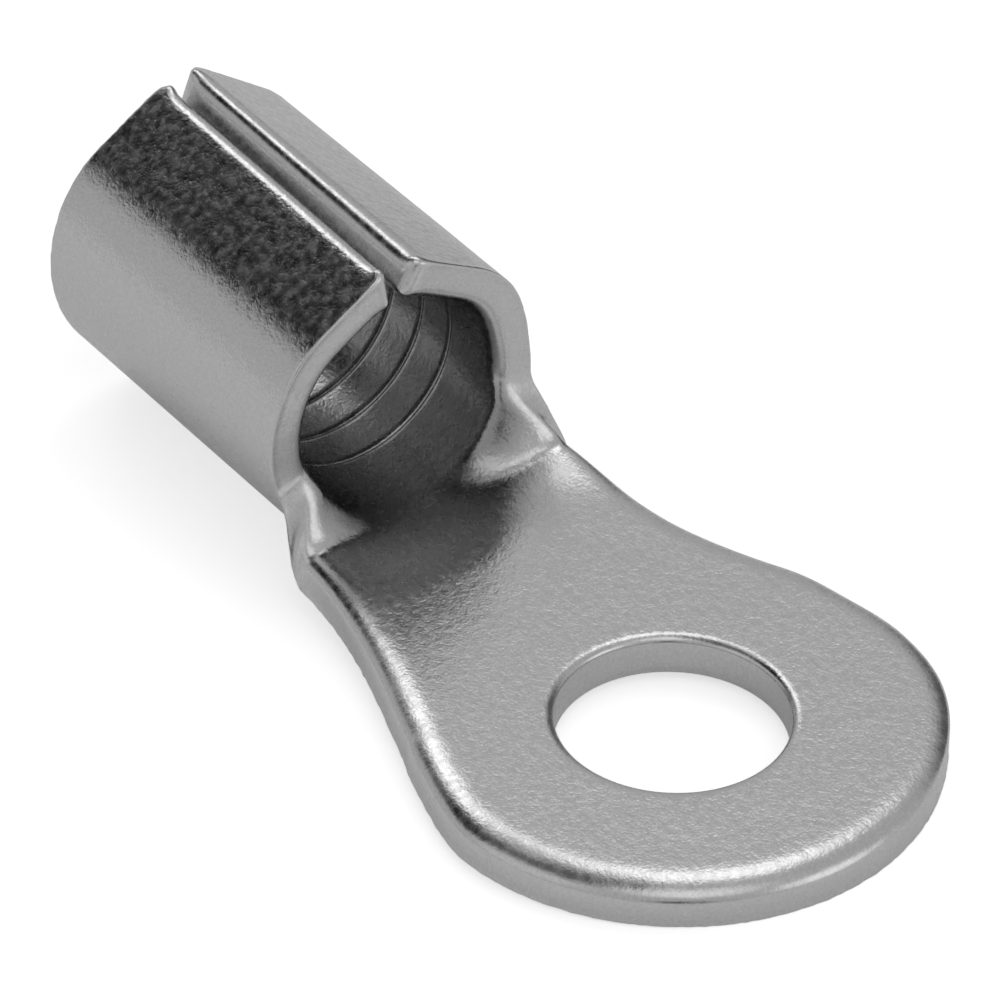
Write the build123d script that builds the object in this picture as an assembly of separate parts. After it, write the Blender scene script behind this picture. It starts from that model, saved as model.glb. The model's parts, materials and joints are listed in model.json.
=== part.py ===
"""Ring terminal: one stamping of tinned copper sheet, punched flat and then rolled.

The blank is a ring, a neck and two wings. The wings are curled up into an open wire barrel whose
lips butt along the top, and the neck is dished where the barrel runs out into the flat tongue.

Frame: millimetres. The origin is the centre of the stud hole on the tongue's underside, +Z up
through the hole, +X from the barrel towards the tip of the ring.
"""
from build123d import *

import os
from math import acos, cos, hypot, pi, radians, sin, sqrt

# Sheet and ring
sheet = 1.0
stud_hole_diameter = 5.3
ring_width = 12.2

# Neck, the narrowest place of the tongue
neck_width = 7.54
neck_to_stud = 9.5

# Wire barrel
barrel_diameter = 7.48
barrel_length = 9.27
barrel_to_stud = 10.3
barrel_drop = 0.48

# Butted lips: how steeply they rise, how far they are pressed inside the round, and the inside
# rounding of the knee where the round turns into the lip
lip_slope = radians(32)
lip_flattening = 0.10
knee_rounding = 2.0

# Seam between the lips: its gap at the bottom and the lean of each cut face
seam_gap = 0.12
seam_lean = radians(15)

# Run-out of the barrel into the tongue: the wings open out over the root length, a share of the
# barrel's bend fades more slowly over the scoop length, and the landing beyond it is flat
wing_fillet = 1.3
fillet_start = radians(15)
root_length = 1.9
scoop_length = 3.6
scoop_share = 0.35
landing_length = 0.6

# Edges rounded over by the punch
outline_roll = 0.34
hole_roll = 0.12

# Grooves pressed across the inside of the barrel to grip the wire, with 45 degree flanks
groove_count = 5
groove_depth = 0.06
groove_from_front = 2.0
groove_from_rear = 2.55
groove_flank = 45

# Sections of the run-out: along the wing fillet, from there to the flat, and along the flat
fillet_sections = 8
scoop_sections = 6
landing_sections = 3

# Below this share of the barrel's bend a section is drawn straight
flat_enough = 1e-4

# Reach of a search for the edges in a plane
tiny = 1e-3

# Places worked out from the sizes above
stud_hole_radius = stud_hole_diameter / 2
ring_radius = ring_width / 2
neck_half = neck_width / 2
outer_radius = barrel_diameter / 2
inner_radius = outer_radius - sheet
middle_radius = outer_radius - sheet / 2
axis_height = outer_radius - barrel_drop
barrel_front = -barrel_to_stud
barrel_rear = barrel_front - barrel_length
scoop_end = barrel_front + scoop_length
tongue_start = scoop_end + landing_length
plain_start = barrel_front + wing_fillet * cos(fillet_start)
groove_pitch = (barrel_length - groove_from_front - groove_from_rear) / (groove_count - 1)
inner_corner = seam_gap / 2
outer_corner = inner_corner + sheet * sin(seam_lean) / cos(lip_slope - seam_lean)

# The flank is the arc that touches both the neck and the ring
flank_radius = (neck_to_stud**2 + neck_half**2 - ring_radius**2) / (2 * (ring_radius - neck_half))
flank_centre_y = neck_half + flank_radius
flank_reach = hypot(neck_to_stud, flank_centre_y)
touch_x = -neck_to_stud * ring_radius / flank_reach
touch_y = flank_centre_y * ring_radius / flank_reach


def flank(x):
    """Half-width of the tongue on the hollow curve between the neck and the ring."""
    return flank_centre_y - sqrt(flank_radius**2 - (x + neck_to_stud) ** 2)


def ease(share):
    """Falls smoothly from 1 at the start of a run-out to 0 at its end."""
    left = 1 - min(share, 1)
    return left * left * (3 - 2 * left)


def lip_point(radius, side, from_seam):
    """A point on a lip's face, on the barrel's section, as (y, z)."""
    distance = radius - lip_flattening
    return (side * from_seam, axis_height + (distance - from_seam * sin(lip_slope)) / cos(lip_slope))


def knee_point(radius, side):
    """Where the round of that radius turns into the lip, as (y, z)."""
    angle = lip_slope + acos((radius - lip_flattening) / radius)
    return (side * radius * sin(angle), axis_height + radius * cos(angle))


def roofed_round(x, radius, corner, rounding):
    """A round that closes at the top in two lips, leaning together like a roof."""
    left_knee = knee_point(radius, -1)
    right_knee = knee_point(radius, 1)
    with BuildSketch(Plane.YZ.offset(x)) as area:
        with BuildLine():
            Line(lip_point(radius, -1, corner), left_knee)
            ThreePointArc(left_knee, (0, axis_height - radius), right_knee)
            Line(right_knee, lip_point(radius, 1, corner))
            Line(lip_point(radius, 1, corner), lip_point(radius, -1, corner))
        make_face()
        knees = area.vertices().group_by(Axis.Y)[0]
        fillet(knees, rounding)
    return area.sketch


def seam_area(x):
    """The gap between the two cut faces, wider at the top."""
    with BuildSketch(Plane.YZ.offset(x)) as area:
        with BuildLine():
            Polyline(
                lip_point(outer_radius, -1, outer_corner),
                lip_point(inner_radius, -1, inner_corner),
                lip_point(inner_radius, 1, inner_corner),
                lip_point(outer_radius, 1, outer_corner),
                close=True,
            )
        make_face()
    return area.sketch


def mouth_edges(barrel, x):
    """Edges of the barrel's bore at one of its mouths."""
    edges = barrel.edges().filter_by_position(Axis.X, x - tiny, x + tiny)
    middles = [edge.position_at(0.5) for edge in edges]
    from_axis = [hypot(middle.Y, middle.Z - axis_height) for middle in middles]
    return [edge for edge, radius in zip(edges, from_axis) if radius < middle_radius]


def make_barrel():
    """The wire barrel, one thickness of sheet all round and open along the seam."""
    outside = roofed_round(barrel_rear, outer_radius, outer_corner, knee_rounding + sheet)
    inside = roofed_round(barrel_rear, inner_radius, inner_corner, knee_rounding)
    barrel = extrude(outside - inside - seam_area(barrel_rear), barrel_length)
    return fillet(mouth_edges(barrel, barrel_rear) + mouth_edges(barrel, barrel_front), outline_roll)


def ribbon_point(x, across, height):
    """A point of the sheet on a section across the run-out, as (y, z).

    The distance across is along the middle of the sheet, so bending keeps it. The height is above
    the underside, which is the outside of the bend.
    """
    along = x - barrel_front
    bend = (1 - scoop_share) * ease(along / root_length) + scoop_share * ease(along / scoop_length)
    middle = sheet / 2 - barrel_drop * ease(along / scoop_length)
    if bend < flat_enough:
        return (across, middle + height - sheet / 2)
    bend_radius = middle_radius / bend
    radius = bend_radius + sheet / 2 - height
    angle = across / bend_radius
    return (radius * sin(angle), middle + bend_radius - radius * cos(angle))


def ribbon(x, half, roll_width):
    """Section of the sheet across the run-out: an arc that opens out towards the tongue.

    Its two corners on the punched side are rolled over by that width.
    """
    flat = half - roll_width
    with BuildSketch(Plane.YZ.offset(x)) as section:
        with BuildLine():
            for height, reach in ((0, half), (sheet, flat)):
                left, middle, right = (ribbon_point(x, across, height) for across in (-reach, 0, reach))
                if middle[1] == left[1]:
                    Line(left, right)
                else:
                    ThreePointArc(left, middle, right)
            for side in (-1, 1):
                bottom = ribbon_point(x, side * half, 0)
                shoulder = ribbon_point(x, side * half, sheet - outline_roll)
                corner = ribbon_point(x, side * half, sheet)
                Line(bottom, shoulder)
                Bezier(shoulder, corner, ribbon_point(x, side * flat, sheet))
        make_face()
    return section.sketch


def make_run_out(tongue_end):
    """The dished neck, from the barrel's mouth to the end face of the tongue."""
    sections = []
    for step in range(fillet_sections):
        turn = fillet_start + (pi / 2 - fillet_start) * step / fillet_sections
        x = barrel_front + wing_fillet * (cos(fillet_start) - cos(turn))
        sections.append(ribbon(x, flank(x) + wing_fillet * (1 - sin(turn)), outline_roll / sin(turn)))
    for step in range(scoop_sections):
        x = plain_start + (scoop_end - plain_start) * step / scoop_sections
        sections.append(ribbon(x, flank(x), outline_roll))
    for step in range(landing_sections):
        x = scoop_end + landing_length * step / landing_sections
        sections.append(ribbon(x, flank(x), outline_roll))
    return extrude(sections[0], -outline_roll) + loft(sections + [tongue_end])


def make_tongue():
    """The flat end: a ring that narrows along two hollow flanks towards the neck."""
    half = flank(tongue_start)
    middle_x = (tongue_start + touch_x) / 2
    with BuildSketch() as outline:
        with BuildLine():
            for side in (-1, 1):
                middle = (middle_x, side * flank(middle_x))
                ThreePointArc((tongue_start, side * half), middle, (touch_x, side * touch_y))
            ThreePointArc((touch_x, -touch_y), (ring_radius, 0), (touch_x, touch_y))
            Line((tongue_start, -half), (tongue_start, half))
        make_face()
    tongue = extrude(outline.sketch, sheet)
    top_edges = tongue.faces().sort_by(Axis.Z)[-1].edges().sort_by(Axis.X)
    return fillet(top_edges[1:], outline_roll)


def make_groove(x):
    """The cutter of one groove: the inside of the barrel, swollen to a ridge all round."""
    ridge = roofed_round(x, inner_radius + groove_depth, inner_corner, knee_rounding + groove_depth)
    return extrude(ridge, groove_depth, both=True, taper=groove_flank)


tongue = make_tongue()
tongue_end = tongue.faces().sort_by(Axis.X)[0]
terminal = make_barrel() + make_run_out(tongue_end) + tongue
terminal -= Cylinder(stud_hole_radius, sheet, align=(Align.CENTER, Align.CENTER, Align.MIN))
hole_edge = terminal.edges().sort_by_distance(Vertex(stud_hole_radius, 0, sheet))[0]
terminal = fillet(hole_edge, hole_roll)
for number in range(groove_count):
    terminal -= make_groove(barrel_front - groove_from_front - number * groove_pitch)

os.makedirs("parts", exist_ok=True)
export_step(terminal, "parts/ring_terminal.step")
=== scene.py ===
"""Ring terminal: one stamping of tinned copper sheet, shown on a pale floor."""
import json
from math import acos, atan2, ceil, cos, hypot, pi, radians, sin, sqrt

import bmesh
import bpy
from mathutils import Matrix, Vector, noise
from mathutils.geometry import delaunay_2d_cdt


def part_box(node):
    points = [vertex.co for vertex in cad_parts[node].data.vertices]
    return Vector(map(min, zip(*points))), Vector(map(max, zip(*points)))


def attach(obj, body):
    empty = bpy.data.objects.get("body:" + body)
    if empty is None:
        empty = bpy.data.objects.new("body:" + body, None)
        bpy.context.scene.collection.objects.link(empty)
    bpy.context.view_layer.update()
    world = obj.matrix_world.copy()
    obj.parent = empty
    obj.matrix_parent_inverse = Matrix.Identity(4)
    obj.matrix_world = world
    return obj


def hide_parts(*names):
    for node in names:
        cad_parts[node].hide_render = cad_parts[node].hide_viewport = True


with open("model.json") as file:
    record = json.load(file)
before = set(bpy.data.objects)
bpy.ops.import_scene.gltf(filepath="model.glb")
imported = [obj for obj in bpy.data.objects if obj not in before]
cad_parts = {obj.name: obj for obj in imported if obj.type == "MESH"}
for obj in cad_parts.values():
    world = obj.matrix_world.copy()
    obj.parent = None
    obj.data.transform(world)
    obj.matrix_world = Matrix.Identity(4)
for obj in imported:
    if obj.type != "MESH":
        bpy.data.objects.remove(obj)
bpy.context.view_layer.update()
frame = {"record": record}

# The terminal, first as a flat blank. A ring, a neck and two wings are punched out of soft copper
# sheet in one blow. The punch draws the upper edge over, shears the wall below it and leaves a
# burr underneath. In millimetres: x along the terminal, y across it, z through the sheet.
mm = 0.001
mounts = {mount["name"]: mount for mount in frame["record"]["mounts"]}
low_corner, high_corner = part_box("ring_terminal")
sheet = mounts["tongue_top"]["pos_m"][2] / mm
stud_hole_radius = mounts["stud_hole"]["dims"]["r_mm"]
bore_radius = mounts["wire_barrel"]["dims"]["r_mm"]
ring_radius = high_corner.x / mm
barrel_rear = low_corner.x / mm
barrel_front = 2 * mounts["wire_barrel"]["pos_m"][0] / mm - barrel_rear
barrel_drop = -low_corner.z / mm
middle_radius = bore_radius + sheet / 2

neck_half = 3.77
neck_x = -9.5
wing_fillet = 0.7
corner_radius = 0.32
corner_steps = 7
point_spacing = 0.13
fillet_spacing = 0.6 * point_spacing
grid_spacing = 0.17

# How the lips close: the slope of each, how far they lie inside the round, and the bend of the knee
left_slope = radians(32)
right_slope_rear = radians(35)
right_slope_front = radians(28)
lip_flattening = 0.10
knee_radius = 2.5

# The seam runs a little to the left: where the corners of the two lips lie across the barrel
left_outer_corner = {"rear": -0.33, "front": -0.50}
left_inner_corner = {"rear": -0.17, "front": -0.31}
right_outer_corner = {"rear": 0.25, "front": 0.30}
right_inner_corner = {"rear": -0.12, "front": -0.18}
lean_reach = 2.5

knee_centre = middle_radius - knee_radius
round_end = pi - left_slope - acos((knee_centre - lip_flattening) / knee_centre)
round_reach = middle_radius * round_end


def lip_slope(x, side):
    """How steeply a lip rises towards the seam."""
    if side < 0:
        return left_slope
    share = (x - barrel_rear) / (barrel_front - barrel_rear)
    return right_slope_rear + (right_slope_front - right_slope_rear) * share


def reach_of_corner(x, side, corner, height):
    """How far across the flat blank a lip's corner lies, counted along the middle of the sheet."""
    share = (x - barrel_rear) / (barrel_front - barrel_rear)
    y = corner["rear"] + (corner["front"] - corner["rear"]) * share
    end = pi - lip_slope(x, side)
    knee_end_y = middle_radius * sin(round_end) + knee_radius * (sin(end) - sin(round_end))
    face_y = knee_end_y - (height - sheet / 2) * sin(end)
    return round_reach + knee_radius * (end - round_end) + (side * y - face_y) / cos(end)


def wing_reach(x, side):
    """How far across the flat blank the wing goes, on the underside."""
    return reach_of_corner(x, side, left_outer_corner if side < 0 else right_outer_corner, 0)


def lip_lean(x, side):
    """How much shorter the wing is on its upper face, because the cut face leans."""
    corner = left_inner_corner if side < 0 else right_inner_corner
    return wing_reach(x, side) - reach_of_corner(x, side, corner, sheet)


flank_radius = (neck_x**2 + neck_half**2 - ring_radius**2) / (2 * (ring_radius - neck_half))
flank_centre_y = neck_half + flank_radius
touch_angle = atan2(flank_centre_y, neck_x)


def flank(x):
    """Half-width of the tongue along the hollow curve between the neck and the ring."""
    return flank_centre_y - sqrt(flank_radius**2 - (x - neck_x) ** 2)


# The punch wandered a little. By side: how far the outline strays outwards, where along the
# terminal it does most, and how far that reaches. Along the neck it strays all the way back.
strays = {-1: ((-0.22, -1.8, 2.6),), 1: ((-0.12, -1.2, 1.8), (0.14, 2.8, 2.8))}
neck_strays = {-1: -0.17, 1: 0.30}
neck_stray_x = -9.2
neck_stray_reach = 4.2


def bell(x, middle, reach):
    """Rises smoothly from 0 to 1 at the middle and falls back to 0."""
    share = max(0, 1 - abs(x - middle) / reach)
    return share * share * (3 - 2 * share)


def stray(x, side):
    """How far the outline lies outside the true one at this place."""
    along_neck = bell(max(x, neck_stray_x), neck_stray_x, neck_stray_reach)
    outwards = sum(most * bell(x, middle, reach) for most, middle, reach in strays[side])
    return outwards + neck_strays[side] * along_neck


def steps(start, end, spacing):
    """Evenly spaced shares from 0 up to, but not including, 1."""
    count = max(2, ceil(abs(end - start) / spacing))
    return [step / count for step in range(count)]


def half_outline(side):
    """The blank's outline from the tip of the ring round to the middle of the rear edge."""
    points = []
    for share in steps(0, touch_angle * ring_radius, point_spacing):
        angle = touch_angle * share
        x = ring_radius * cos(angle)
        points.append((x, ring_radius * sin(angle) + stray(x, side) * sin(angle), "ring"))
    touch_x = ring_radius * cos(touch_angle)
    fillet_x = barrel_front + wing_fillet
    for share in steps(touch_x, fillet_x, point_spacing):
        x = touch_x + (fillet_x - touch_x) * share
        points.append((x, flank(x) + stray(x, side), "flank"))
    for share in steps(0, wing_fillet * pi / 2, fillet_spacing):
        turn = pi / 2 * (1 - share)
        x = barrel_front + wing_fillet * (1 - cos(turn))
        points.append((x, flank(x) + stray(x, side) + wing_fillet * (1 - sin(turn)), "fillet"))
    start_y = flank(barrel_front) + stray(barrel_front, side) + wing_fillet
    front_y = wing_reach(barrel_front, side) - corner_radius
    for share in steps(start_y, front_y, point_spacing):
        points.append((barrel_front, start_y + (front_y - start_y) * share, "front"))
    for share in steps(0, 1, 1 / corner_steps):
        turn = pi / 2 * share
        x = barrel_front - corner_radius * (1 - cos(turn))
        points.append((x, front_y + corner_radius * sin(turn), "corner"))
    lip_start = barrel_front - corner_radius
    lip_end = barrel_rear + corner_radius
    for share in steps(lip_start, lip_end, point_spacing):
        x = lip_start + (lip_end - lip_start) * share
        points.append((x, wing_reach(x, side), "lip"))
    rear_y = wing_reach(barrel_rear, side) - corner_radius
    for share in steps(0, 1, 1 / corner_steps):
        turn = pi / 2 * share
        x = barrel_rear + corner_radius * (1 - sin(turn))
        points.append((x, rear_y + corner_radius * cos(turn), "corner"))
    for share in steps(rear_y, 0, point_spacing):
        points.append((barrel_rear, rear_y * (1 - share), "rear"))
    return [(x, side * y, place) for x, y, place in points]


outline = half_outline(1) + [(barrel_rear, 0, "rear")] + half_outline(-1)[:0:-1]

# The punched edge by place: how wide and how deep the upper edge is drawn over, and how far the
# lower one is rounded. On the far side of the tongue the punch was sharper.
edge_forms = {
    "ring": (0.85, 0.45, 0.05),
    "flank": (0.85, 0.45, 0.05),
    "fillet": (0.36, 0.34, 0.07),
    "front": (0.45, 0.38, 0.07),
    "corner": (0.20, 0.20, 0.20),
    "lip": (0.24, 0.22, 0.38),
    "rear": (0.45, 0.38, 0.07),
}
far_form = Vector((0.60, 0.22, 0.05))
far_start = 0.5
far_end = 4.5
blur_passes = 6
draw_steps = 9
wall_steps = 4
round_steps = 4

forms = []
for x, y, place in outline:
    form = Vector(edge_forms[place])
    if place in ("ring", "flank"):
        form = form.lerp(far_form, bell(min(y, far_end), far_end, far_end - far_start))
    forms.append(form)
for blur_pass in range(blur_passes):
    following = forms[1:] + forms[:1]
    forms = [(forms[i - 1] + forms[i] * 2 + following[i]) / 4 for i in range(len(forms))]


def outward(points, index):
    """Direction square to the outline and out of the sheet."""
    before = Vector(points[index - 1][:2])
    after = Vector(points[(index + 1) % len(points)][:2])
    along = (after - before).normalized()
    return Vector((along.y, -along.x))


def edge_profile(width, depth, rounding):
    """Section of the punched edge from the top down: inset, height, and how far it is a cut face."""
    profile = []
    for step in range(draw_steps + 1):
        turn = pi / 2 * (1 - step / draw_steps)
        profile.append((width * (1 - cos(turn)), sheet - depth * (1 - sin(turn)), cos(turn) ** 2))
    for step in range(1, wall_steps):
        drop = (sheet - depth - rounding) * step / wall_steps
        profile.append((0, sheet - depth - drop, 1))
    for step in range(round_steps + 1):
        turn = pi / 2 * step / round_steps
        profile.append((rounding * (1 - cos(turn)), rounding * (1 - sin(turn)), cos(turn)))
    return profile


def leaned(x, y, height):
    """Shears the end of a wing so that the cut face along its lip leans."""
    side = -1 if y < 0 else 1
    x_in_barrel = min(max(x, barrel_rear), barrel_front)
    reach = wing_reach(x_in_barrel, side)
    share = min(max((abs(y) - reach + lean_reach) / lean_reach, 0), 1)
    return (x, y - side * share * lip_lean(x_in_barrel, side) * height / sheet, height)


blank = bmesh.new()
cut_layer = blank.verts.layers.float.new("cut")


def add_point(x, y, height, cut=0.0):
    """Adds a point of the blank and says how far it lies on a cut face."""
    vertex = blank.verts.new(Vector(leaned(x, y, height)) * mm)
    vertex[cut_layer] = cut
    return vertex


def add_edge_strip(points, outwards, profiles):
    """Walls of a punched edge. Gives back the flat positions of its upper and lower ends."""
    plan = [Vector(point[:2]) for point in points]
    rows = []
    for (x, y), out, profile in zip(plan, outwards, profiles):
        row = []
        for inset, height, cut in profile:
            row.append(add_point(x - out.x * inset, y - out.y * inset, height, cut))
        rows.append(row)
    for row, following in zip(rows, rows[1:] + rows[:1]):
        for upper in range(len(row) - 1):
            blank.faces.new((row[upper], row[upper + 1], following[upper + 1], following[upper]))
    ends = []
    for end in (0, -1):
        insets = [profile[end][0] for profile in profiles]
        ends.append([point - out * inset for point, out, inset in zip(plan, outwards, insets)])
    return ends


# The burr hangs from the lower edge and is ragged. It was rubbed off nearly everywhere on the lips.
burr_height = 0.035
burr_spacing = 0.175
burr_left_on_lips = 0.2
outline_out = [outward(outline, index) for index in range(len(outline))]
outline_profiles = [edge_profile(*form) for form in forms]
for (x, y, place), profile in zip(outline, outline_profiles):
    ragged = noise.noise(Vector((x, y, 0)) / burr_spacing) * 0.5 + 0.5
    burr = burr_height * ragged * (burr_left_on_lips if place == "lip" else 1)
    for step in range(1, round_steps):
        row = step - round_steps - 1
        inset, height, cut = profile[row]
        bulge = burr * sin(pi * step / round_steps)
        profile[row] = (inset - bulge, height - bulge / 2, cut)
top_outline, under_outline = add_edge_strip(outline, outline_out, outline_profiles)

# The stud hole is pierced from above in the same stroke, with a finer drawn edge
hole_form = (0.26, 0.16, 0.04)
hole_points = []
for share in steps(0, 2 * pi * stud_hole_radius, point_spacing):
    turn = -2 * pi * share
    hole_points.append((stud_hole_radius * cos(turn), stud_hole_radius * sin(turn)))
hole_out = [-Vector(point).normalized() for point in hole_points]
hole_profiles = [edge_profile(*hole_form)] * len(hole_points)
top_hole, under_hole = add_edge_strip(hole_points, hole_out, hole_profiles)

# Grooves pressed across the inside of the barrel to grip the wire
groove_count = 5
groove_from_front = 2.0
groove_from_rear = 2.55
groove_depth = 0.05
groove_half_width = 0.055
grooved_length = barrel_front - barrel_rear - groove_from_front - groove_from_rear
groove_pitch = grooved_length / (groove_count - 1)

# The two faces of the blank are covered by a grid of points. They lie closer along the grooves and
# at the wings' roots, and keep clear of the edges.
root_line_spacing = 0.07
root_line_numbers = range(-2, 13)
line_clearance = 0.4 * grid_spacing
edge_clearance = 0.5 * grid_spacing
grid_margin = 0.3
spare_rows = 5
point_tolerance = 1e-5
hole_tolerance = 1e-3
close_lines = []
for number in range(groove_count):
    centre = barrel_front - groove_from_front - number * groove_pitch
    close_lines += [centre + groove_half_width * share for share in (-1, -0.5, 0, 0.5, 1)]
close_lines += [barrel_front + root_line_spacing * number for number in root_line_numbers]


def grid_lines(start, end):
    """Evenly spaced lines along the blank, with the close lines in place of the nearest."""
    count = ceil((end - start) / grid_spacing)
    even = [start + (end - start) * number / count for number in range(count + 1)]
    kept = [x for x in even if all(abs(x - line) > line_clearance for line in close_lines)]
    return sorted(kept + close_lines)


def fill_face(rim, hole, height, upward):
    """Covers one face of the blank with small triangles, between its outline and the stud hole."""
    points = list(rim) + list(hole)
    loops = [(i, (i + 1) % len(rim)) for i in range(len(rim))]
    loops += [(len(rim) + i, len(rim) + (i + 1) % len(hole)) for i in range(len(hole))]
    hole_reach = hole[0].length
    rim_cells = {}
    for point in rim:
        rim_cells.setdefault((round(point.x), round(point.y)), []).append(point)

    def well_inside(x, y):
        """Whether a point of the grid lies in the sheet and clear of its edges."""
        if hypot(x, y) < hole_reach + edge_clearance:
            return False
        if x < barrel_front:
            widest = wing_reach(x, -1 if y < 0 else 1)
        else:
            widest = flank(x) + wing_fillet if x < 0 else ring_radius
        if abs(y) > widest:
            return False
        for cell_x in (-1, 0, 1):
            for cell_y in (-1, 0, 1):
                for near in rim_cells.get((round(x) + cell_x, round(y) + cell_y), []):
                    if hypot(near.x - x, near.y - y) < edge_clearance:
                        return False
        return True

    rows_each_way = ceil(max(abs(point.y) for point in rim) / grid_spacing) + spare_rows
    across = [grid_spacing * number for number in range(-rows_each_way, rows_each_way + 1)]
    for x in grid_lines(barrel_rear + grid_margin, ring_radius - grid_margin):
        points += [Vector((x, y)) for y in across if well_inside(x, y)]
    plan, _, triangles, _, _, _ = delaunay_2d_cdt(points, loops, [], 1, point_tolerance)
    placed = {}
    for triangle in triangles:
        if all(plan[corner].length < hole_reach + hole_tolerance for corner in triangle):
            continue
        for corner in triangle:
            if corner not in placed:
                placed[corner] = add_point(plan[corner].x, plan[corner].y, height)
        corners = [placed[corner] for corner in triangle]
        blank.faces.new(corners if upward else corners[::-1])


fill_face(top_outline, top_hole, sheet, True)
fill_face(under_outline, under_hole, 0, False)
same_point = 2e-4 * mm
bmesh.ops.remove_doubles(blank, verts=blank.verts[:], dist=same_point)
bmesh.ops.recalc_face_normals(blank, faces=blank.faces[:])
blank_mesh = bpy.data.meshes.new("blank")
blank.to_mesh(blank_mesh)
blank.free()
terminal = bpy.data.objects.new("terminal", blank_mesh)
bpy.context.scene.collection.objects.link(terminal)

# Rolling the blank. The wings are curled up round a mandrel until their lips butt, and the neck
# between the barrel and the tongue is dished: its bend fades out in two lengths, a short one for
# the wings and a longer one for the bottom. The grooves are pressed in just before.
root_length = 1.1
scoop_length = 3.6
scoop_share = 0.35
least_bend = 1e-3
face_tolerance = 1e-6
squeeze_depth = 0.18
squeeze_length = 3.0
squeeze_middle = 3.75
squeeze_half_height = 2.3
squeeze_from_y = 0.5
squeeze_full_y = 2.0

rolling = bpy.data.node_groups.new("rolling", "GeometryNodeTree")
rolling.interface.new_socket("Geometry", in_out="INPUT", socket_type="NodeSocketGeometry")
rolling_values = {
    "Sheet": sheet * mm,
    "Barrel middle radius": middle_radius * mm,
    "Round reach": round_reach * mm,
    "Knee radius": knee_radius * mm,
    "Left lip slope": left_slope,
    "Right lip slope, rear": right_slope_rear,
    "Right lip slope, front": right_slope_front,
    "Barrel rear": barrel_rear * mm,
    "Barrel front": barrel_front * mm,
    "Barrel drop": barrel_drop * mm,
    "Root length": root_length * mm,
    "Scoop length": scoop_length * mm,
    "Scoop share": scoop_share,
    "Groove count": groove_count,
    "Groove start": (barrel_front - groove_from_front) * mm,
    "Groove pitch": groove_pitch * mm,
    "Groove depth": groove_depth * mm,
    "Groove half width": groove_half_width * mm,
    "Squeeze depth": squeeze_depth * mm,
    "Squeeze length": squeeze_length * mm,
    "Squeeze middle": squeeze_middle * mm,
    "Squeeze half height": squeeze_half_height * mm,
}
for name, value in rolling_values.items():
    socket = rolling.interface.new_socket(name, in_out="INPUT", socket_type="NodeSocketFloat")
    socket.default_value = value
finish_socket = rolling.interface.new_socket("Finish", in_out="INPUT", socket_type="NodeSocketMaterial")
rolling.interface.new_socket("Geometry", in_out="OUTPUT", socket_type="NodeSocketGeometry")
rolling_in = rolling.nodes.new("NodeGroupInput")
rolling_out = rolling.nodes.new("NodeGroupOutput")
size = rolling_in.outputs


def fill_sockets(tree, node, values):
    """Links or writes each value into the node's next input. Gives back the node's result."""
    for socket, value in zip(node.inputs, values):
        if isinstance(value, bpy.types.NodeSocket):
            tree.links.new(value, socket)
        else:
            socket.default_value = value
    return node.outputs[0]


def calculate(tree, operation, *values):
    """Adds a Math node and gives back its result."""
    node = tree.nodes.new("ShaderNodeMath")
    node.operation = operation
    return fill_sockets(tree, node, values)


def roll_math(operation, *values):
    """Adds a Math node to the rolling."""
    return calculate(rolling, operation, *values)


def fade(tree, value, start, end, at_start, at_end, kind="SMOOTHSTEP"):
    """Adds a Map Range node that runs from one value to another."""
    node = tree.nodes.new("ShaderNodeMapRange")
    node.interpolation_type = kind
    return fill_sockets(tree, node, (value, start, end, at_start, at_end))


flat_place = rolling.nodes.new("GeometryNodeInputPosition")
flat_parts = rolling.nodes.new("ShaderNodeSeparateXYZ")
rolling.links.new(flat_place.outputs[0], flat_parts.inputs[0])
along, across, through = flat_parts.outputs
half_sheet = roll_math("DIVIDE", size["Sheet"], 2)

# Grooves: how far a point lies from the nearest one, and how deep that presses it
from_first = roll_math("SUBTRACT", size["Groove start"], along)
nearest = roll_math("ROUND", roll_math("DIVIDE", from_first, size["Groove pitch"]))
last_groove = roll_math("SUBTRACT", size["Groove count"], 1)
nearest = roll_math("MINIMUM", roll_math("MAXIMUM", nearest, 0), last_groove)
first_to_nearest = roll_math("MULTIPLY", nearest, size["Groove pitch"])
groove_at = roll_math("SUBTRACT", size["Groove start"], first_to_nearest)
from_groove = roll_math("ABSOLUTE", roll_math("SUBTRACT", along, groove_at))
pressed = fade(rolling, from_groove, 0, size["Groove half width"], size["Groove depth"], 0, "LINEAR")
on_upper_face = roll_math("COMPARE", through, size["Sheet"], face_tolerance)
height = roll_math("SUBTRACT", through, roll_math("MULTIPLY", pressed, on_upper_face))

# The bend at this place along the terminal, and the height of the middle of the sheet at its bottom
root_end = roll_math("ADD", size["Barrel front"], size["Root length"])
scoop_end = roll_math("ADD", size["Barrel front"], size["Scoop length"])
wing_bend = fade(rolling, along, size["Barrel front"], root_end, 1, 0)
bottom_bend = fade(rolling, along, size["Barrel front"], scoop_end, 1, 0)
wing_share = roll_math("SUBTRACT", 1, size["Scoop share"])
scoop_bend = roll_math("MULTIPLY", bottom_bend, size["Scoop share"])
bend = roll_math("MULTIPLY_ADD", wing_bend, wing_share, scoop_bend)
bend = roll_math("MAXIMUM", bend, least_bend)
round_radius = roll_math("DIVIDE", size["Barrel middle radius"], bend)
downwards = roll_math("MULTIPLY", bottom_bend, -1)
level = roll_math("MULTIPLY_ADD", size["Barrel drop"], downwards, half_sheet)

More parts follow.
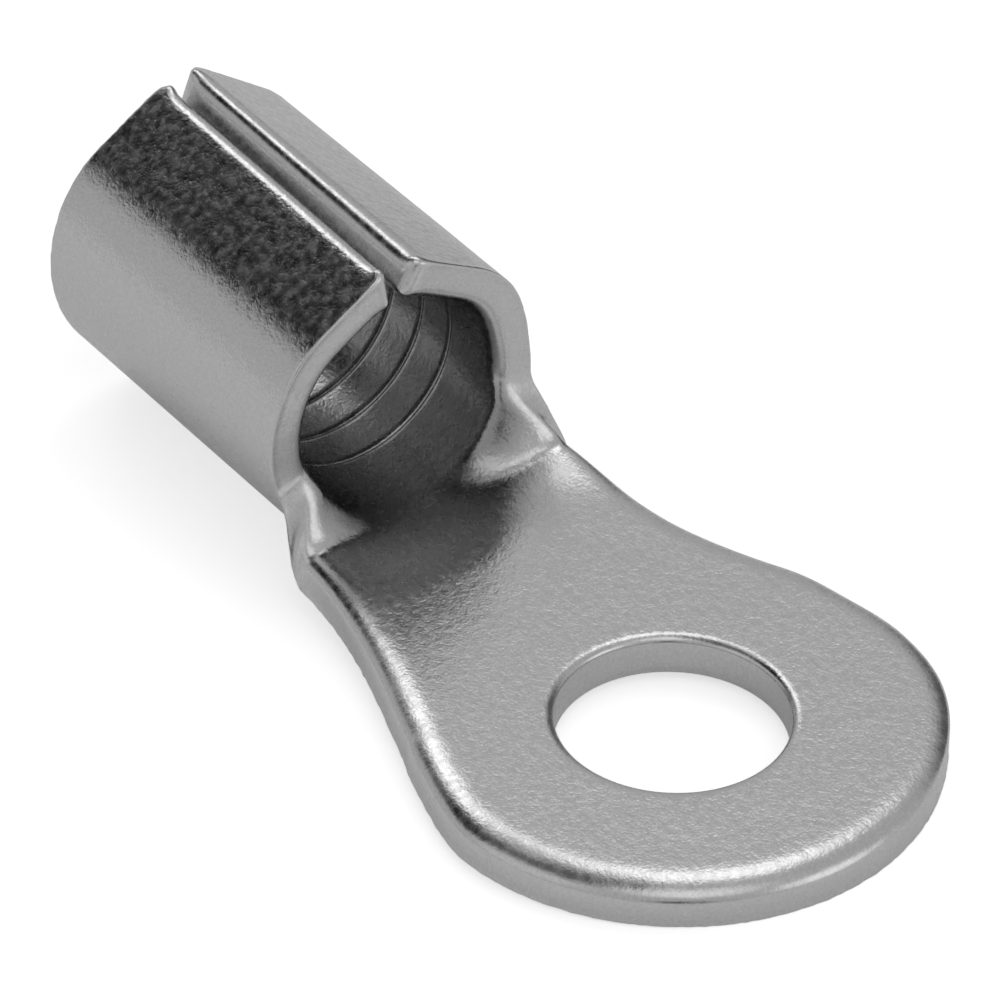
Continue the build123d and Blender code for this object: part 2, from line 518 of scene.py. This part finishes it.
# The round, the knee and the straight lip that a point across the sheet has passed
side = roll_math("SIGN", across)
on_left = roll_math("LESS_THAN", across, 0)
right_slope = fade(
    rolling, along, size["Barrel rear"], size["Barrel front"],
    size["Right lip slope, rear"], size["Right lip slope, front"], "LINEAR",
)
left_steeper = roll_math("SUBTRACT", size["Left lip slope"], right_slope)
slope = roll_math("MULTIPLY_ADD", on_left, left_steeper, right_slope)
full_turn = roll_math("DIVIDE", size["Round reach"], size["Barrel middle radius"])
knee_turn = roll_math("SUBTRACT", roll_math("SUBTRACT", pi, slope), full_turn)
knee_length = roll_math("MULTIPLY", knee_turn, size["Knee radius"])
reach = roll_math("ABSOLUTE", across)
in_round = roll_math("MINIMUM", reach, size["Round reach"])
past_round = roll_math("MAXIMUM", roll_math("SUBTRACT", reach, size["Round reach"]), 0)
in_knee = roll_math("MINIMUM", past_round, knee_length)
in_lip = roll_math("SUBTRACT", past_round, in_knee)

# Where that puts the middle of the sheet, and the point itself square to it
round_turn = roll_math("DIVIDE", in_round, round_radius)
turn = roll_math("ADD", round_turn, roll_math("DIVIDE", in_knee, size["Knee radius"]))
sin_half = roll_math("SINE", roll_math("DIVIDE", round_turn, 2))
sin_round = roll_math("SINE", round_turn)
cos_round = roll_math("COSINE", round_turn)
sin_turn = roll_math("SINE", turn)
cos_turn = roll_math("COSINE", turn)
knee_across = roll_math("SUBTRACT", sin_turn, sin_round)
knee_up = roll_math("SUBTRACT", cos_round, cos_turn)
middle_y = roll_math("MULTIPLY", sin_round, round_radius)
middle_y = roll_math("MULTIPLY_ADD", knee_across, size["Knee radius"], middle_y)
middle_y = roll_math("MULTIPLY_ADD", in_lip, cos_turn, middle_y)
round_width = roll_math("MULTIPLY", round_radius, 2)
middle_z = roll_math("MULTIPLY", roll_math("MULTIPLY", sin_half, sin_half), round_width)
middle_z = roll_math("MULTIPLY_ADD", knee_up, size["Knee radius"], middle_z)
middle_z = roll_math("MULTIPLY_ADD", in_lip, sin_turn, middle_z)
off_middle = roll_math("SUBTRACT", height, half_sheet)
rolled_y = roll_math("SUBTRACT", middle_y, roll_math("MULTIPLY", off_middle, sin_turn))
rolled_y = roll_math("MULTIPLY", rolled_y, side)
rolled_z = roll_math("MULTIPLY_ADD", off_middle, cos_turn, roll_math("ADD", middle_z, level))

# The right wing is pressed in a little at the barrel's front, between its root and its knee
squeeze_start = roll_math("SUBTRACT", size["Barrel front"], size["Squeeze length"])
squeeze_along = fade(rolling, along, squeeze_start, size["Barrel front"], 0, size["Squeeze depth"])
from_squeeze = roll_math("ABSOLUTE", roll_math("SUBTRACT", rolled_z, size["Squeeze middle"]))
squeeze_up = fade(rolling, from_squeeze, 0, size["Squeeze half height"], 1, 0)
on_right = fade(rolling, rolled_y, squeeze_from_y * mm, squeeze_full_y * mm, 0, 1)
squeeze = roll_math("MULTIPLY", roll_math("MULTIPLY", squeeze_along, squeeze_up), on_right)
rolled_y = roll_math("SUBTRACT", rolled_y, squeeze)

rolled_place = rolling.nodes.new("ShaderNodeCombineXYZ")
fill_sockets(rolling, rolled_place, (along, rolled_y, rolled_z))
move = rolling.nodes.new("GeometryNodeSetPosition")
realize = rolling.nodes.new("GeometryNodeRealizeInstances")
set_finish = rolling.nodes.new("GeometryNodeSetMaterial")
rolling.links.new(rolling_in.outputs["Geometry"], move.inputs["Geometry"])
rolling.links.new(rolled_place.outputs[0], move.inputs["Position"])
rolling.links.new(move.outputs[0], realize.inputs[0])
rolling.links.new(realize.outputs[0], set_finish.inputs["Geometry"])
rolling.links.new(rolling_in.outputs["Finish"], set_finish.inputs["Material"])
rolling.links.new(set_finish.outputs[0], rolling_out.inputs[0])

# The finish: a few micrometres of tin over the copper, satin and finely grained. The cut faces
# were sheared clean before plating, so they are smoother.
tin_darkest = (0.62, 0.62, 0.62, 1)
tin_lightest = (0.70, 0.70, 0.70, 1)
# Painted shade: the darker grey that the tin's colour turns to inside the barrel and the neck
tin_painted_shade = (0.40, 0.40, 0.40, 1)
fine_scale = 14000
coarse_scale = 5000
wave_scale = 900
coarse_height = 1.4
noise_low = 0.2
noise_high = 0.8
grain_off_cut_faces = 0.8
bump_strength = 0.6
bump_depth = 0.04


def speckle(tree, place, scale):
    """Adds a Noise texture and gives back its value."""
    node = tree.nodes.new("ShaderNodeTexNoise")
    tree.links.new(place, node.inputs["Vector"])
    node.inputs["Scale"].default_value = scale
    node.inputs["Detail"].default_value = 2
    node.inputs["Roughness"].default_value = 0.5
    return node.outputs["Fac"]


def blend(tree, share, first, second):
    """Adds a Mix node between two colours and gives back its result."""
    node = tree.nodes.new("ShaderNodeMix")
    node.data_type = "RGBA"
    tree.links.new(share, node.inputs["Factor"])
    for name, colour in (("A", first), ("B", second)):
        if isinstance(colour, bpy.types.NodeSocket):
            tree.links.new(colour, node.inputs[name])
        else:
            node.inputs[name].default_value = colour
    return node.outputs["Result"]


grain = bpy.data.node_groups.new("plated_grain", "ShaderNodeTree")
grain.interface.new_socket("Place", in_out="INPUT", socket_type="NodeSocketVector")
grain_values = {
    "Cut face": 0.0,
    "Grain height": 0.3,
    "Wave height": 0.6,
    "Smoothest": 0.17,
    "Roughest": 0.30,
}
for name, value in grain_values.items():
    socket = grain.interface.new_socket(name, in_out="INPUT", socket_type="NodeSocketFloat")
    socket.default_value = value
for name in ("Height", "Roughness", "Tone"):
    grain.interface.new_socket(name, in_out="OUTPUT", socket_type="NodeSocketFloat")
grain_in = grain.nodes.new("NodeGroupInput").outputs
grain_out = grain.nodes.new("NodeGroupOutput").inputs
fine = speckle(grain, grain_in["Place"], fine_scale)
coarse = speckle(grain, grain_in["Place"], coarse_scale)
wave = speckle(grain, grain_in["Place"], wave_scale)
smoothed = calculate(grain, "MULTIPLY", grain_in["Cut face"], grain_off_cut_faces)
uncut = calculate(grain, "SUBTRACT", 1, smoothed)
grain_sum = calculate(grain, "ADD", fine, calculate(grain, "MULTIPLY", coarse, coarse_height))
grain_part = calculate(grain, "MULTIPLY", grain_sum, grain_in["Grain height"])
grain_part = calculate(grain, "MULTIPLY", grain_part, uncut)
wave_part = calculate(grain, "MULTIPLY", wave, grain_in["Wave height"])
smoothest, roughest = grain_in["Smoothest"], grain_in["Roughest"]
grain_rough = fade(grain, coarse, noise_low, noise_high, smoothest, roughest)
grain.links.new(calculate(grain, "ADD", grain_part, wave_part), grain_out["Height"])
grain.links.new(grain_rough, grain_out["Roughness"])
grain.links.new(fade(grain, fine, noise_low, noise_high, 0.0, 1.0), grain_out["Tone"])

tin = bpy.data.materials.new("satin_tin")
tin.use_nodes = True
tin_nodes = tin.node_tree
tin_shader = tin_nodes.nodes["Principled BSDF"].inputs
tin_shader["Metallic"].default_value = 1
tin_place = tin_nodes.nodes.new("ShaderNodeTexCoord").outputs["Object"]
tin_cut = tin_nodes.nodes.new("ShaderNodeAttribute")
tin_cut.attribute_name = "cut"
tin_grain = tin_nodes.nodes.new("ShaderNodeGroup")
tin_grain.node_tree = grain
tin_nodes.links.new(tin_place, tin_grain.inputs["Place"])
tin_nodes.links.new(tin_cut.outputs["Fac"], tin_grain.inputs["Cut face"])
tin_tone = blend(tin_nodes, tin_grain.outputs["Tone"], tin_darkest, tin_lightest)

# Painted shade: the tin's colour is darkened inside the barrel and down in the neck, where the bore
# lies in shade, but not on the cut faces
shade_full_radius = bore_radius + 0.1
shade_end_radius = bore_radius + 0.97
shade_full_x = barrel_front + 0.3
shade_end_x = barrel_front + 2.4
axis_height = middle_radius + sheet / 2 - barrel_drop
tin_parts = tin_nodes.nodes.new("ShaderNodeSeparateXYZ")
tin_nodes.links.new(tin_place, tin_parts.inputs[0])
above_axis = calculate(tin_nodes, "SUBTRACT", tin_parts.outputs["Z"], axis_height * mm)
from_axis = calculate(tin_nodes, "POWER", tin_parts.outputs["Y"], 2)
from_axis = calculate(tin_nodes, "MULTIPLY_ADD", above_axis, above_axis, from_axis)
from_axis = calculate(tin_nodes, "SQRT", from_axis)
shade_in_bore = fade(tin_nodes, from_axis, shade_full_radius * mm, shade_end_radius * mm, 1, 0)
shade_in_mouth = fade(tin_nodes, tin_parts.outputs["X"], shade_full_x * mm, shade_end_x * mm, 1, 0)
off_cut = calculate(tin_nodes, "SUBTRACT", 1, tin_cut.outputs["Fac"])
painted_shade = calculate(tin_nodes, "MULTIPLY", calculate(tin_nodes, "MULTIPLY", shade_in_bore, shade_in_mouth), off_cut)
tin_bump = tin_nodes.nodes.new("ShaderNodeBump")
tin_bump.inputs["Strength"].default_value = bump_strength
tin_bump.inputs["Distance"].default_value = bump_depth * mm
tin_nodes.links.new(tin_grain.outputs["Height"], tin_bump.inputs["Height"])
# The tin's grained colour is mixed towards the painted shade inside the barrel and the neck
tin_nodes.links.new(blend(tin_nodes, painted_shade, tin_tone, tin_painted_shade), tin_shader["Base Color"])
tin_nodes.links.new(tin_grain.outputs["Roughness"], tin_shader["Roughness"])
tin_nodes.links.new(tin_bump.outputs["Normal"], tin_shader["Normal"])

# The blank goes through the rolling and comes out as a plain mesh
press = terminal.modifiers.new("rolling", "NODES")
press.node_group = rolling
press[finish_socket.identifier] = tin
bpy.context.view_layer.update()
rolled = terminal.evaluated_get(bpy.context.evaluated_depsgraph_get())
rolled_mesh = bpy.data.meshes.new_from_object(rolled)
terminal.modifiers.remove(press)
terminal.data = rolled_mesh
bpy.data.meshes.remove(blank_mesh)
rolled_mesh.name = "terminal"
for polygon in rolled_mesh.polygons:
    polygon.use_smooth = True
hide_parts("ring_terminal")
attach(terminal, "root")

# The table: a pale matt sheet. The terminal rests on it with its barrel and the tip of the ring,
# so it slopes a little against the tongue. It glows for the camera, so that it shows white, and
# far less for what the metal mirrors.
floor_half = 0.6
floor_slope = -low_corner.z / (high_corner.x - barrel_front * mm)
paper_colour = (0.9, 0.9, 0.9, 1)
paper_glow_seen = 0.60
paper_glow_mirrored = 0.06

floor_points = []
for x, y in ((-1, -1), (1, -1), (1, 1), (-1, 1)):
    floor_x = x * floor_half
    floor_z = low_corner.z + (floor_x - barrel_front * mm) * floor_slope
    floor_points.append((floor_x, y * floor_half, floor_z))
floor_mesh = bpy.data.meshes.new("floor")
floor_mesh.from_pydata(floor_points, [], [(0, 1, 2, 3)])
floor = bpy.data.objects.new("floor", floor_mesh)
bpy.context.scene.collection.objects.link(floor)
paper = bpy.data.materials.new("white_paper")
paper.use_nodes = True
paper_nodes = paper.node_tree
paper_shader = paper_nodes.nodes["Principled BSDF"].inputs
paper_shader["Base Color"].default_value = paper_colour
paper_shader["Roughness"].default_value = 0.9
paper_shader["Specular IOR Level"].default_value = 0
paper_shader["Emission Color"].default_value = (1, 1, 1, 1)
ray = paper_nodes.nodes.new("ShaderNodeLightPath").outputs
seen = calculate(paper_nodes, "MAXIMUM", ray["Is Camera Ray"], ray["Is Transmission Ray"])
seen = calculate(paper_nodes, "MULTIPLY", seen, paper_glow_seen)
mirrored = calculate(paper_nodes, "MULTIPLY", ray["Is Glossy Ray"], paper_glow_mirrored)
glow = calculate(paper_nodes, "ADD", seen, mirrored)
paper_nodes.links.new(glow, paper_shader["Emission Strength"])
floor_mesh.materials.append(paper)

# Light: a plain soft studio, as the room that the metal mirrors. Pale reflectors and dark gaps
# between them, given by azimuth and elevation, inner and outer radius in degrees, and level.
studio_level = 0.48
studio_patches = {
    "bright_rear": (171, 44, 5, 14, 1.8),
    "dark_left_rear": (-160, 46, 6, 12, 0.05),
    "dark_left_low": (-160, 32, 5, 11, 0.02),
    "dark_left": (-146, 43, 10, 20, 0.0),
    "dark_left_top": (-105, 68, 8, 24, 0.10),
    "dark_right": (106, 14, 13, 28, 0.10),
    "bright_back": (132, 63, 7, 18, 1.6),
    "bright_right_front": (28, 24, 8, 24, 1.1),
    "bright_high_front": (-25, 62, 8, 24, 0.95),
    "dark_front": (-32, 13, 5, 13, 0.05),
    "pale_left": (-95, 28, 10, 26, 0.62),
}
studio = bpy.data.worlds.new("studio")
bpy.context.scene.world = studio
studio.use_nodes = True
studio_nodes = studio.node_tree
studio_direction = studio_nodes.nodes.new("ShaderNodeTexCoord").outputs["Generated"]
studio_light = studio_nodes.nodes["Background"].inputs
brightness = studio_level
for azimuth, elevation, inner, outer, level in studio_patches.values():
    azimuth, elevation = radians(azimuth), radians(elevation)
    towards = studio_nodes.nodes.new("ShaderNodeVectorMath")
    towards.operation = "DOT_PRODUCT"
    studio_nodes.links.new(studio_direction, towards.inputs[0])
    towards.inputs[1].default_value = (
        cos(azimuth) * cos(elevation),
        sin(azimuth) * cos(elevation),
        sin(elevation),
    )
    cos_outer, cos_inner = cos(radians(outer)), cos(radians(inner))
    share = fade(studio_nodes, towards.outputs["Value"], cos_outer, cos_inner, 0, 1)
    change = calculate(studio_nodes, "SUBTRACT", level, brightness)
    brightness = calculate(studio_nodes, "MULTIPLY_ADD", share, change, brightness)
studio_nodes.links.new(brightness, studio_light["Strength"])
studio_light["Color"].default_value = (1, 1, 1, 1)

# Camera: a long lens in front and to the left of the terminal, 37 degrees above the table. Its
# azimuth is counted from the terminal's left side, and it is turned by about a degree.
camera_azimuth = radians(53.46)
camera_elevation = radians(37.27)
camera_roll = radians(0.96)
camera_distance = 0.14413
camera_target = Vector((-6.6, 0.015, 2.80)) * mm
camera_back = Vector((
    sin(camera_azimuth) * cos(camera_elevation),
    -cos(camera_azimuth) * cos(camera_elevation),
    sin(camera_elevation),
))
camera_data = bpy.data.cameras.new("camera")
camera_data.lens = 228.7
camera_data.sensor_width = 36
camera_data.clip_start = 0.01
camera_data.clip_end = 10
camera = bpy.data.objects.new("camera", camera_data)
camera.matrix_world = (
    Matrix.Translation(camera_target + camera_back * camera_distance)
    @ camera_back.to_track_quat("Z", "Y").to_matrix().to_4x4()
    @ Matrix.Rotation(camera_roll, 4, "Z")
)
bpy.context.scene.collection.objects.link(camera)
bpy.context.scene.camera = camera
bpy.context.scene.view_settings.view_transform = "Standard"
